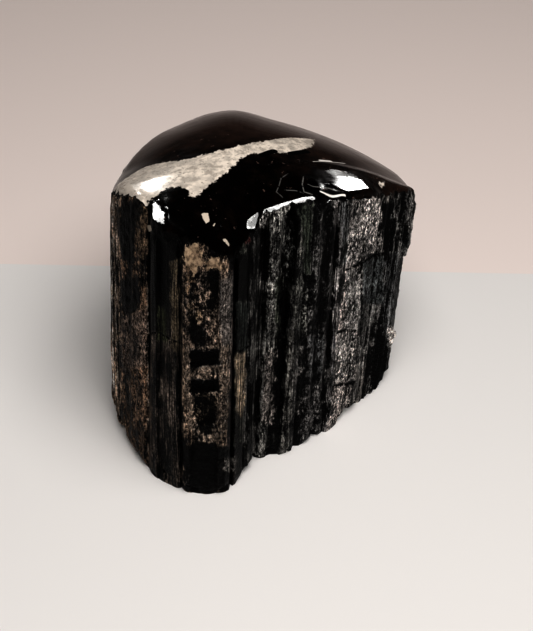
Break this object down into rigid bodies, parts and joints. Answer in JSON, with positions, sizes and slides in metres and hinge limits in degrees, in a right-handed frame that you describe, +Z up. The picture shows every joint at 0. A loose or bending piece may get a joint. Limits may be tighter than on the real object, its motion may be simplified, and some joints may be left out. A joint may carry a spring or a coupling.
{
  "type": "tourmaline crystal",
  "caption": "Free-standing black tourmaline crystal with ribbed natural sides, a sawn flat base and a polished domed top",
  "frame": {"origin": "centre of the bounding box, on the sawn base", "axes": "+Z up through the polished top, -Y towards the viewer of the picture, +X to the viewer's right"},
  "size_m": [0.0788, 0.0714, 0.0906],
  "materials": {
    "black_tourmaline": "polished top, natural striated sides"
  },
  "bodies": {
    "root": {"tourmaline_crystal": "black_tourmaline"}
  },
  "joints": []
}
